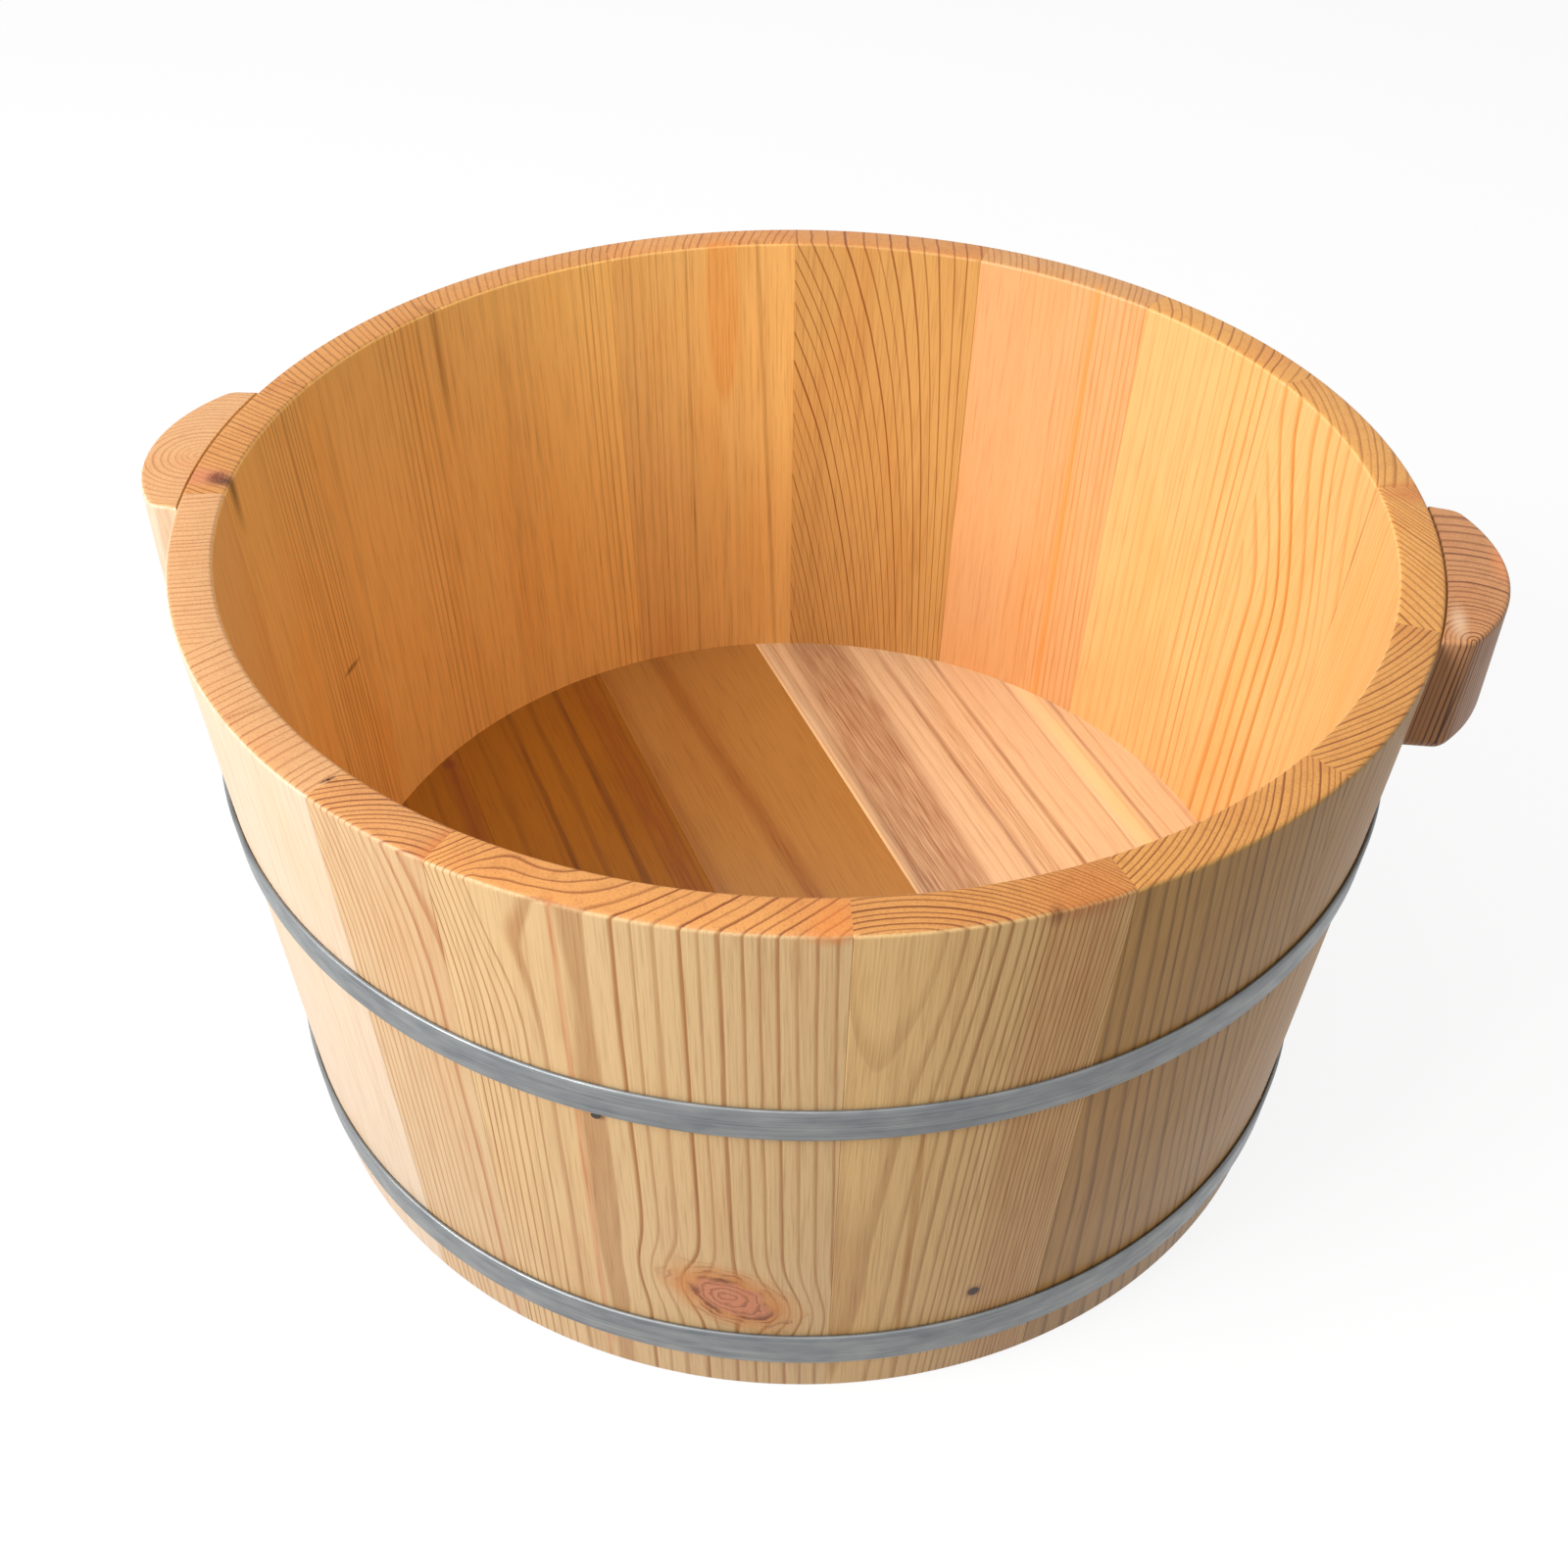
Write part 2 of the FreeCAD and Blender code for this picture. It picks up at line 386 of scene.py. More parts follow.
@dataclass(frozen=True)
class Knot:
    """A knot that the grain bends round, in millimetres across the piece and along its grain.

    Edges say where a colour begins and ends, as distances from the heart that are one at the
    knot's own edge. Layers are places in the noise that the knot's unevenness comes from.
    """

    across: float
    along: float
    half_width: float
    half_height: float
    lean: float = -0.35
    spread: float = 0.8
    spread_fall: float = 0.4
    core: Colour = rgb(204, 132, 98)
    core_edge: tuple[float, float] = (0.85, 1.05)
    core_strength: float = 0.85
    core_ring_strength: float = 0.55
    halo: Colour = rgb(204, 132, 66)
    halo_edge: tuple[float, float] = (1.0, 2.2)
    halo_strength: float = 0.85
    halo_ring_strength: float = 0.9
    ring: Colour = rgb(124, 60, 26)
    rings_inside: float = 3.7
    ring_rise: tuple[float, float] = (0.45, 0.9)
    rim_rise: tuple[float, float] = (0.8, 0.98)
    rim_fall: tuple[float, float] = (1.02, 1.22)
    rim_strength: float = 0.8
    ragged: float = 0.2
    ragged_scale: float = 0.13
    ragged_layer: float = 3.0
    ragged_detail: float = 3.0
    patch_scale: float = 0.09
    patch_layer: float = 8.0
    patch_edge: float = 0.5

    def reach(self, across: Value, along: Value) -> Value:
        """Distance from the knot's heart, one at its edge."""
        offset = across - self.across
        sideways = offset / self.half_width
        up = (along - self.along - offset * self.lean) / self.half_height
        return (sideways * sideways + up * up).root()

    def bend(self, bent: Value, across: Value, along: Value) -> Value:
        """Place across the board that the grain comes from, once the knot has pushed it aside."""
        reach = self.reach(across, along)
        push = (reach * reach * -self.spread_fall).exponent() * self.spread
        return bent - (across - self.across) * push

    def laid_on(
        self,
        shader: Shader,
        colour: bpy.types.NodeSocket,
        across: Value,
        along: Value,
    ) -> bpy.types.NodeSocket:
        """Colour with the knot's halo, core and own rings.

        Args:
            shader: The material's tree.
            colour: The colour so far.
            across: Millimetres across the board.
            along: Millimetres up from the rim.

        Returns:
            The new colour.
        """
        ragged_place = shader.vector(across * self.ragged_scale, along * self.ragged_scale, self.ragged_layer)
        patch_place = shader.vector(across * self.patch_scale, along * self.patch_scale, self.patch_layer)
        ragged = shader.noise(ragged_place, self.ragged_detail)
        patchy = shader.noise(patch_place, 1.0).ramp(-self.patch_edge, self.patch_edge)
        reach = self.reach(across, along) + ragged * self.ragged
        halo = 1 - reach.ramp(*self.halo_edge)
        core = 1 - reach.ramp(*self.core_edge)
        rim = reach.ramp(*self.rim_rise) * (1 - reach.ramp(*self.rim_fall))
        own_rings = (reach * self.rings_inside).rest().ramp(*self.ring_rise)
        colour = shader.mix(halo * self.halo_strength, colour, self.halo)
        colour = shader.mix(halo * own_rings * patchy * self.halo_ring_strength, colour, self.ring)
        core_colour = shader.mix(own_rings * self.core_ring_strength, self.core, self.ring)
        colour = shader.mix(core * self.core_strength, colour, core_colour)
        return shader.mix(rim * patchy * self.rim_strength, colour, self.ring)


@dataclass(frozen=True)
class Zone:
    """A stretch across a board where the rings show more, in millimetres from its middle."""

    across: float
    half_width: float
    gain: float
    edge: tuple[float, float] = (0.6, 1.3)

    def share(self, across: Value) -> Value:
        """What the stretch adds to the rings' contrast at a place across the board."""
        away = (across - self.across).size() / self.half_width
        return (1 - away.ramp(*self.edge)) * self.gain


@dataclass(frozen=True)
class Fold:
    """Rings that swing from one curve into the opposite one, with spacings left and right of it.

    The flare bends the grain most at the swing's place, which is counted in blends to the
    left of the fold.
    """

    radius: float
    spacings: tuple[float, float]
    depths: tuple[float, float]
    blend: float = 10.0
    swing_place: float = 1.6
    swing_gain: float = 1.4


@dataclass(frozen=True)
class Fan:
    """Grain that draws together downwards, about a line across the board."""

    across: float
    gain: float
    length: float = 150.0


@dataclass(frozen=True)
class Grain:
    """A layer of drawn-out noise in the wood.

    Its scales run through the board, across it and along its grain. The seeding says how far
    a board's own seed shifts the first two.
    """

    scales: tuple[float, float, float]
    detail: float
    seeding: tuple[float, float] = (0.0, 1.0)
    strength: float = 1.0
    most: float = 1.0
    blend: str = "MIX"

    def noise(self, shader: Shader, place: tuple[Value, Value, Value], seed: float) -> Value:
        """The layer's noise at a place that is given through the board, across and along it."""
        through, across, along = (part * scale for part, scale in zip(place, self.scales))
        shifted = (through + seed * self.seeding[0], across + seed * self.seeding[1])
        return shader.noise(shader.vector(*shifted, along), self.detail)

    def darken(
        self,
        shader: Shader,
        colour: bpy.types.NodeSocket,
        dark: bpy.types.NodeSocket,
        noise: Value,
    ) -> bpy.types.NodeSocket:
        """Colour with as much of the dark tone as the layer brings in.

        Args:
            shader: The material's tree.
            colour: The colour so far.
            dark: The dark tone.
            noise: The layer's noise.

        Returns:
            The new colour.
        """
        share = (noise * self.strength).at_least(0.0).at_most(self.most)
        return shader.mix(share, colour, dark, self.blend)


@dataclass(frozen=True)
class Cut:
    """How a board lay in its log, which settles how the growth rings show on it.

    The pith is where the rings are centred, in millimetres: through the board's depth from
    its outer face, and across the board from its middle. The rings are spaced in millimetres
    and get finer away from the pith. Drift leans the grain as it rises, crown draws arches
    below the rim, flare bends the grain sideways at the top, stretch widens the rings'
    circles and wander makes them uneven.
    """

    pith_depth: float
    pith_across: float
    spacing: float
    tone: Tone = Tone.HONEY
    phase: float = 0.0
    finer: float = 0.0
    drift: float = 0.0
    crown: float = 0.0
    flare: float = 0.0
    stretch: float = 1.0
    wander: float = 0.35
    fold: Optional[Fold] = None
    fan: Optional[Fan] = None
    end_contrast: float = 0.8
    outer_contrast: float = 0.5
    inner_contrast: float = 0.4
    zones: tuple[Zone, ...] = ()
    marks: tuple[Mark, ...] = ()
    knots: tuple[Knot, ...] = ()


@dataclass(frozen=True)
class Pine:
    """Finish of planed pine under clear satin varnish.

    Late wood grows darker from its earliest place in a ring to its full one, and is gone
    between its stop and the next ring. A face counts as end grain between the two shares of
    its direction that lie along the grain.
    """

    thickness: float = 14.0
    lean: float = 0.0
    roughness: float = 0.46
    fibre_roughness: float = 0.04
    late_roughness: float = 0.05
    shine: float = 0.25
    coat: float = 0.08
    coat_roughness: float = 0.25
    line_width: float = 1.2
    late_earliest: float = 0.55
    late_full: float = 0.88
    late_stop: float = 0.93
    faintest_ring: float = 0.5
    uneven_pace: float = 0.4
    uneven_rings: float = 0.3
    shake_share: float = 0.05
    crown_length: float = 85.0
    flare_length: float = 62.0
    upright_end: tuple[float, float] = (0.55, 0.9)
    lying_end: tuple[float, float] = (0.75, 0.95)
    side_blend: float = 0.2
    fibre_relief: float = 0.00003
    cloud: Grain = Grain((0.03, 0.035, 0.009), 2.0, (1.0, 0.0), 0.25, 0.35, "SOFT_LIGHT")
    streak: Grain = Grain((0.24, 0.26, 0.006), 2.0, (0.0, -1.0), 0.16, 0.24)
    fibre: Grain = Grain((1.3, 1.3, 0.045), 4.0, (0.0, 1.0), 0.3, 0.5, "MULTIPLY")
    sway: Grain = Grain((0.02, 0.02, 0.009), 1.0)
    shake: Grain = Grain((0.12, 0.12, 0.012), 1.0)

    def material(
        self,
        name: str,
        cut: Cut,
        turn: float,
        shift: Sequence[float],
        seed: float,
        lying: bool = False,
    ) -> bpy.types.Material:
        """Wood of one board.

        Args:
            name: Name of the material.
            cut: How the board lay in its log.
            turn: Degrees that the board stands at about the upright axis.
            shift: Its own origin in millimetres, once turned back.
            seed: Number that makes its noise its own.
            lying: True for a floor board, whose grain runs level.

        Returns:
            The material.
        """
        shader = Shader(name)
        x, y, z = shader.parts(shader.place(turn, shift))
        face_x, face_y, face_z = shader.parts(shader.facing(turn))
        if lying:
            depth, across, along = z, x, y
            end = face_y.size().ramp(*self.lying_end)
            outside = face_z.ramp(-self.side_blend, self.side_blend)
        else:
            depth, across, along = x - z * self.lean, y, z
            end = face_z.size().ramp(*self.upright_end)
            outside = face_x.ramp(-self.side_blend, self.side_blend)
        bent = across
        for knot in cut.knots:
            bent = knot.bend(bent, across, along)
        rings = self.rings(shader, cut, (depth, bent, along), seed)
        late = self.latewood(shader, cut, rings, seed)
        face_contrast = outside * (cut.outer_contrast - cut.inner_contrast) + cut.inner_contrast
        for zone in cut.zones:
            face_contrast = face_contrast + zone.share(across)
        contrast = face_contrast + end * (cut.end_contrast - face_contrast)
        tone = cut.tone.value
        early = shader.mix(outside, tone.inside, tone.outside)
        early = shader.mix(end, early, tone.end)
        dark = shader.mix(end, tone.late, tone.end_late)
        colour = shader.mix(late * contrast, early, dark)
        place = (depth, across, along)
        for layer in (self.cloud, self.streak):
            colour = layer.darken(shader, colour, dark, layer.noise(shader, place, seed))
        fibre = self.fibre.noise(shader, place, seed)
        colour = self.fibre.darken(shader, colour, dark, fibre)
        for knot in cut.knots:
            colour = knot.laid_on(shader, colour, across, along)
        for mark in cut.marks:
            colour = mark.laid_on(shader, colour, (across, depth, along), fibre)
        return shader.surface({
            "Base Color": colour,
            "Roughness": fibre * self.fibre_roughness + late * self.late_roughness + self.roughness,
            "Specular IOR Level": self.shine,
            "Coat Weight": self.coat,
            "Coat Roughness": self.coat_roughness,
            "Normal": shader.bump(fibre, self.fibre_relief),
        })

    def rings(self, shader: Shader, cut: Cut, place: tuple[Value, Value, Value], seed: float) -> Value:
        """Count of growth rings out from the pith.

        Args:
            shader: The material's tree.
            cut: How the board lay in its log.
            place: Millimetres out from the board's outer face, across it from its middle
                and up from the rim.
            seed: Number that makes the noise its own.

        Returns:
            The count, whose fraction is the place within a ring.
        """
        depth, across, along = place
        sway = self.sway.noise(shader, place, seed)
        shake = self.shake.noise(shader, place, seed)
        wave = sway * cut.wander + shake * (self.shake_share * cut.spacing)
        if cut.fan:
            spread = along * (-cut.fan.gain / cut.fan.length) + 1
            across = (across - cut.fan.across) * spread + cut.fan.across
        top = along.ramp(-self.crown_length, 0.0)
        flare = (along / self.flare_length + 1).at_least(0.0)
        bend = flare * flare * cut.flare
        if cut.fold:
            count = self.folded_rings(cut, depth, across, bend, wave)
        else:
            sideways = (across - cut.pith_across - along * cut.drift + bend) / cut.stretch
            inwards = depth - cut.pith_depth - top * cut.crown
            reach = (inwards * inwards + sideways * sideways).root()
            middle = math.hypot(cut.pith_depth + self.thickness / 2, cut.pith_across)
            out = reach - middle + wave
            count = ((out * cut.finer).exponent() - 1) / cut.finer if cut.finer else out
            count = count / cut.spacing
        uneven = shader.noise(shader.vector(count * self.uneven_pace, seed, 0.0), 0.0)
        return count + uneven * self.uneven_rings + cut.phase

    def folded_rings(self, cut: Cut, depth: Value, across: Value, bend: Value, wave: Value) -> Value:
        """Count of rings that swing from one curve into the opposite one at the pith's line.

        Args:
            cut: How the board lay in its log.
            depth: Millimetres out from the board's outer face.
            across: Millimetres across it from its middle.
            bend: Millimetres that the left side's grain bends by at this height.
            wave: Millimetres of unevenness.

        Returns:
            The count.
        """
        fold = cut.fold
        offset = across - cut.pith_across
        from_swing = (offset + fold.swing_place * fold.blend) / fold.blend
        swing = (from_swing * from_swing * -1.0).exponent() * fold.swing_gain
        sideways = offset + bend * (1 - offset.ramp(-2 * fold.blend, 0.0) + swing)
        reach = (sideways * sideways + fold.radius ** 2).root() - fold.radius
        right = sideways.ramp(-fold.blend, fold.blend)
        through = right * (1 / fold.depths[1] - 1 / fold.depths[0]) + 1 / fold.depths[0]
        beside = right * (1 / fold.spacings[1] - 1 / fold.spacings[0]) + 1 / fold.spacings[0]
        return (depth + self.thickness / 2) * through + sideways.sign() * reach * beside + wave / cut.spacing

    def latewood(self, shader: Shader, cut: Cut, rings: Value, seed: float) -> Value:
        """Share of dark latewood: it grows slowly within each ring and stops sharply.

        Args:
            shader: The material's tree.
            cut: How the board lay in its log.
            rings: Count of growth rings.
            seed: Number that makes each ring's strength its own.

        Returns:
            The share, from nought to one.
        """
        start = max(self.late_earliest, 1 - self.line_width / cut.spacing)
        within = rings.rest()
        line = within.ramp(start, self.late_full) * (1 - within.ramp(self.late_stop, 1.0))
        strength = shader.chance(rings.whole() + seed) * (1 - self.faintest_ring) + self.faintest_ring
        return line * strength


@dataclass(frozen=True)
class Zinc:
    """Finish of a dull zinc-coated steel band."""

    colour: Colour = rgb(144, 148, 149)
    shade: Colour = rgb(94, 100, 108)
    shade_share: float = 0.4
    streaks: Grain = Grain((0.02, 0.02, 1.4), 3.0, strength=0.35)
    blotches: Grain = Grain((0.08, 0.08, 0.2), 2.0, strength=0.3)
    roughness: float = 0.38
    blotch_roughness: float = 0.05
    metallic: float = 0.5
    relief: float = 0.00003

    def material(self, name: str) -> bpy.types.Material:
        """Steel of one band, with drawn streaks round it.

        Args:
            name: Name of the material.

        Returns:
            The material.
        """
        shader = Shader(name)
        place = shader.parts(shader.place(0.0, (0.0, 0.0, 0.0)))
        streaks = self.streaks.noise(shader, place, 0.0)
        blotches = self.blotches.noise(shader, place, 0.0)
        uneven = streaks * self.streaks.strength + blotches * self.blotches.strength
        share = (uneven + self.shade_share).at_least(0.0).at_most(1.0)
        return shader.surface({
            "Base Color": shader.mix(share, self.colour, self.shade),
            "Metallic": self.metallic,
            "Roughness": blotches * self.blotch_roughness + self.roughness,
            "Normal": shader.bump(streaks, self.relief),
        })


@dataclass(frozen=True)
class BluedSteel:
    """Finish of a small dark nail."""

    colour: Colour = rgb(62, 54, 48)
    rust: Colour = rgb(96, 66, 44)
    metallic: float = 0.6
    roughness: float = 0.45
    rust_roughness: float = 0.2
    blotches: Grain = Grain((1.0, 1.0, 1.0), 3.0)

    def material(self, name: str) -> bpy.types.Material:
        """Dark steel with a little rust.

        Args:
            name: Name of the material.

        Returns:
            The material.
        """
        shader = Shader(name)
        place = shader.parts(shader.place(0.0, (0.0, 0.0, 0.0)))
        share = self.blotches.noise(shader, place, 0.0).ramp(0.0, 1.0)
        return shader.surface({
            "Base Color": shader.mix(share, self.colour, self.rust),
            "Metallic": self.metallic,
            "Roughness": share * self.rust_roughness + self.roughness,
        })


@dataclass(frozen=True)
class Section:
    """A closed section, as corners of radius, height and rounding in millimetres."""

    corners: tuple[tuple[float, float, float], ...]

    def mesh(self, name: str) -> bpy.types.Mesh:
        """The section as a closed loop of edges, with each corner's rounding as an attribute.

        Args:
            name: Name of the mesh.

        Returns:
            The mesh, whose first axis is the radius and second the height, in metres.
        """
        mesh = bpy.data.meshes.new(name)
        points = [(radius * MM, height * MM, 0.0) for radius, height, _ in self.corners]
        count = len(points)
        mesh.from_pydata(points, [(index, (index + 1) % count) for index in range(count)], [])
        rounding = mesh.attributes.new("rounding", "FLOAT", "POINT")
        for index, corner in enumerate(self.corners):
            rounding.data[index].value = corner[2] * MM
        return mesh


class TurnedShape(Nodes):
    """Geometry Nodes tree that turns a section about the tub's axis through an angle.

    The section is swept up a straight spine whose height is the angle, and then wrapped
    round. A short step at each end of the spine leaves room for an eased joint, so the spine
    has three points more than it has even steps.
    """

    extra_points = 3

    def __init__(self) -> None:
        """Build the tree."""
        super().__init__(bpy.data.node_groups.new("turned_shape", "GeometryNodeTree"))
        floats = ("Start", "Sweep", "Ease Angle", "Ease Share", "Base Middle", "Slope")
        self.tree.interface.new_socket("Section", in_out="INPUT", socket_type="NodeSocketGeometry")
        for name in floats:
            self.tree.interface.new_socket(name, in_out="INPUT", socket_type="NodeSocketFloat")
        for name in ("Steps", "Round Steps"):
            self.tree.interface.new_socket(name, in_out="INPUT", socket_type="NodeSocketInt")
        self.tree.interface.new_socket("Close Ends", in_out="INPUT", socket_type="NodeSocketBool")
        self.tree.interface.new_socket("Material", in_out="INPUT", socket_type="NodeSocketMaterial")
        self.tree.interface.new_socket("Shape", in_out="OUTPUT", socket_type="NodeSocketGeometry")
        self.given = self.node("NodeGroupInput").outputs
        swept = self.swept()
        wrapped = self.wrapped(swept)
        doubles = {"Geometry": wrapped, "Distance": MERGE_GAP}
        merged = self.node("GeometryNodeMergeByDistance", None, doubles)
        real = self.node("GeometryNodeRealizeInstances", None, {0: merged.outputs[0]})
        finish = {"Geometry": real.outputs[0], "Material": self.given["Material"]}
        dressed = self.node("GeometryNodeSetMaterial", None, finish)
        self.node("NodeGroupOutput", None, {0: dressed.outputs[0]})

    def number(self, name: str) -> Value:
        """One of the tree's named inputs."""
        return Value(self, self.given[name])

    def swept(self) -> bpy.types.NodeSocket:
        """The rounded section swept up a spine as high as the angle."""
        outline = self.node("GeometryNodeMeshToCurve", None, {"Mesh": self.given["Section"]})
        rounding = self.node("GeometryNodeInputNamedAttribute", {"data_type": "FLOAT"}, {"Name": "rounding"})
        rounded = self.node(
            "GeometryNodeFilletCurve",
            {"mode": "POLY"},
            {
                "Curve": outline.outputs[0],
                "Count": self.given["Round Steps"],
                "Radius": rounding.outputs[0],
                "Limit Radius": True,
            },
        )
        line = self.node("GeometryNodeCurvePrimitiveLine", None, {"Start": (0, 0, 0), "End": (0, 0, 1)})
        count = self.number("Steps") + self.extra_points
        spine = self.node("GeometryNodeResampleCurve", None, {"Curve": line.outputs[0], "Count": count})
        index = Value(self, self.node("GeometryNodeInputIndex").outputs[0])
        sweep = self.number("Sweep")
        ease = self.number("Ease Angle")
        step = (sweep - ease * 2) / self.number("Steps")
        level = (ease + (index - 1) * step).at_least(0.0).at_most(sweep)
        spaced = self.node(
            "GeometryNodeSetPosition",
            None,
            {"Geometry": spine.outputs[0], "Position": self.vector(0.0, 0.0, level)},
        )
        return self.node(
            "GeometryNodeCurveToMesh",
            None,
            {
                "Curve": spaced.outputs[0],
                "Profile Curve": rounded.outputs[0],
                "Fill Caps": self.given["Close Ends"],
            },
        ).outputs[0]

    def wrapped(self, swept: bpy.types.NodeSocket) -> bpy.types.NodeSocket:
        """The swept section wrapped round the axis, a little smaller at its two ends."""
        position = self.node("GeometryNodeInputPosition").outputs[0]
        radius, height, angle = self.parts(position)
        sweep = self.number("Sweep")
        at_end = 1 - angle.above(END_ANGLE) + angle.above(sweep - END_ANGLE)
        middle = self.number("Base Middle") + height * self.number("Slope")
        held = 1 - at_end * self.number("Ease Share")
        eased = middle + (radius - middle) * held
        turned = angle + self.number("Start")
        x = eased * self.math("COSINE", turned)
        y = eased * self.math("SINE", turned)
        return self.node(
            "GeometryNodeSetPosition", None, {"Geometry": swept, "Position": self.vector(x, y, height)},
        ).outputs[0]

    def turn(self, name: str, section: Section, values: dict[str, Any]) -> bpy.types.Mesh:
        """Turn one section into a plain mesh.

        Args:
            name: Name of the mesh.
            section: The section.
            values: The tree's inputs by name.

        Returns:
            The closed mesh, its doubles merged and its faces outward.
        """
        carrier = stand(name + "_section", section.mesh(name + "_section"))
        modifier = carrier.modifiers.new("turned", "NODES")
        modifier.node_group = self.tree
        for item in self.tree.interface.items_tree:
            if item.in_out == "INPUT" and item.name in values:
                modifier[item.identifier] = values[item.name]
        bpy.context.view_layer.update()
        evaluated = carrier.evaluated_get(bpy.context.evaluated_depsgraph_get())
        mesh = bpy.data.meshes.new_from_object(evaluated)
        mesh.name = name
        bpy.data.objects.remove(carrier)
        shape = bmesh.new()
        shape.from_mesh(mesh)
        close_up(shape)
        shape.to_mesh(mesh)
        shape.free()
        return mesh


def close_up(shape: bmesh.types.BMesh) -> None:
    """Merge doubles and turn the faces of a closed shape outward."""
    bmesh.ops.remove_doubles(shape, verts=shape.verts, dist=MERGE_GAP)
    bmesh.ops.recalc_face_normals(shape, faces=shape.faces)
    if shape.calc_volume(signed=True) < 0:
        bmesh.ops.reverse_faces(shape, faces=shape.faces)


def stand(name: str, data: bpy.types.ID) -> bpy.types.Object:
    """Put a new object with that data in the scene."""
    made = bpy.data.objects.new(name, data)
    bpy.context.scene.collection.objects.link(made)
    return made


def spoke(angle: float) -> Vector:
    """Direction in the plan at an angle in radians."""
    return Vector((math.cos(angle), math.sin(angle)))


@dataclass(frozen=True)
class Bench:
    """Puts finished meshes in the scene and ties them to the frame."""

    smooth_angle: float = 32.0

    def place(
        self,
        name: str,
        mesh: bpy.types.Mesh,
        material: bpy.types.Material,
        slot: str,
        node: str,
    ) -> bpy.types.Object:
        """Set one piece in place of its CAD node.

        Args:
            name: Name of the piece.
            mesh: Its mesh, in place.
            material: Its finish.
            slot: The record's material slot; not used.
            node: The CAD node that it stands for.

        Returns:
            The piece.
        """
        mesh.materials.clear()
        mesh.materials.append(material)
        mesh.polygons.foreach_set("use_smooth", [True] * len(mesh.polygons))
        mesh.set_sharp_from_angle(angle=math.radians(self.smooth_angle))
        piece = stand(name, mesh)
        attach(piece, BODY)
        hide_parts(node)
        LOG.info("%s: %d faces in place of %s", name, len(mesh.polygons), node)
        return piece

    def dress(self, node: str, material: bpy.types.Material) -> None:
        """Give a CAD node's own mesh a finish."""
        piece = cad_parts[node]
        piece.data.materials.clear()
        piece.data.materials.append(material)
        LOG.info("%s: CAD mesh, dressed", node)


@dataclass
class Wall:
    """The tub's wall: sixteen staves of random width, bound by the hoops."""

    rim_radius: float = 200.0
    base_radius: float = 184.5
    height: float = 224.0
    thickness: float = 14.0
    rim_round: float = 1.4
    base_round: float = 1.0
    floor_top: float = 36.0
    tongue_thickness: float = 10.0
    croze_depth: float = 5.0
    joint_ease: float = 0.22
    joint_depth: float = 0.16
    step_degrees: float = 1.0
    round_steps: int = 4
    seed_step: float = 7.31
    angles: tuple[float, ...] = (
        23.5, 22, 22, 22, 23, 23, 23, 22, 22.5, 24.5, 23, 12, 32, 21, 22, 22.5,
    )
    cuts: list[Cut] = field(default_factory=list)

    def lean(self) -> float:
        """Millimetres that the wall goes outwards for each that it rises."""
        return (self.rim_radius - self.base_radius) / self.height

    def outer_radius(self, height: float) -> float:
        """Radius of the outside at a height."""
        return self.base_radius + self.lean() * height

    def spans(self) -> list[tuple[float, float]]:
        """Start angle and width of each stave in degrees, the first centred on +X."""
        spans = []
        start = -self.angles[0] / 2
        for angle in self.angles:
            spans.append((start, angle))
            start += angle
        return spans

    def section(self) -> Section:
        """Section of a stave, with its rounded rim and the croze for the floor."""
        inner = self.outer_radius(self.floor_top) - self.thickness
        croze_bottom = self.floor_top - self.tongue_thickness
        lower = self.outer_radius(croze_bottom) - self.thickness
        croze = inner + self.croze_depth
        return Section((
            (self.base_radius, 0.0, self.base_round),
            (self.rim_radius, self.height, self.rim_round),
            (self.rim_radius - self.thickness, self.height, self.rim_round),
            (inner, self.floor_top, 0.0),
            (croze, self.floor_top, 0.0),
            (croze, croze_bottom, 0.0),
            (lower, croze_bottom, 0.0),
            (self.base_radius - self.thickness, 0.0, self.base_round),
        ))

    def build(self, shape: TurnedShape, bench: Bench) -> None:
        """Turn, dress and place every stave.

        Args:
            shape: The tree that turns sections.
            bench: What places the pieces.
        """
        finish = Pine(thickness=self.thickness, lean=self.lean())
        section = self.section()
        for number, ((start, width), cut) in enumerate(zip(self.spans(), self.cuts), 1):
            name = f"stave_{number:02d}"
            shift = (self.rim_radius, 0.0, self.height)
            seed = number * self.seed_step
            material = finish.material(f"pine_{name}", cut, start + width / 2, shift, seed)
            mesh = shape.turn("turned_" + name, section, {
                "Start": math.radians(start),
                "Sweep": math.radians(width),
                "Ease Angle": self.joint_ease / self.rim_radius,
                "Ease Share": 2 * self.joint_depth / self.thickness,
                "Base Middle": (self.base_radius - self.thickness / 2) * MM,
                "Slope": self.lean(),
                "Steps": round(width / self.step_degrees),
                "Round Steps": self.round_steps,
                "Close Ends": True,
                "Material": material,
            })
            bench.place("turned_" + name, mesh, material, "stave_wood", name)


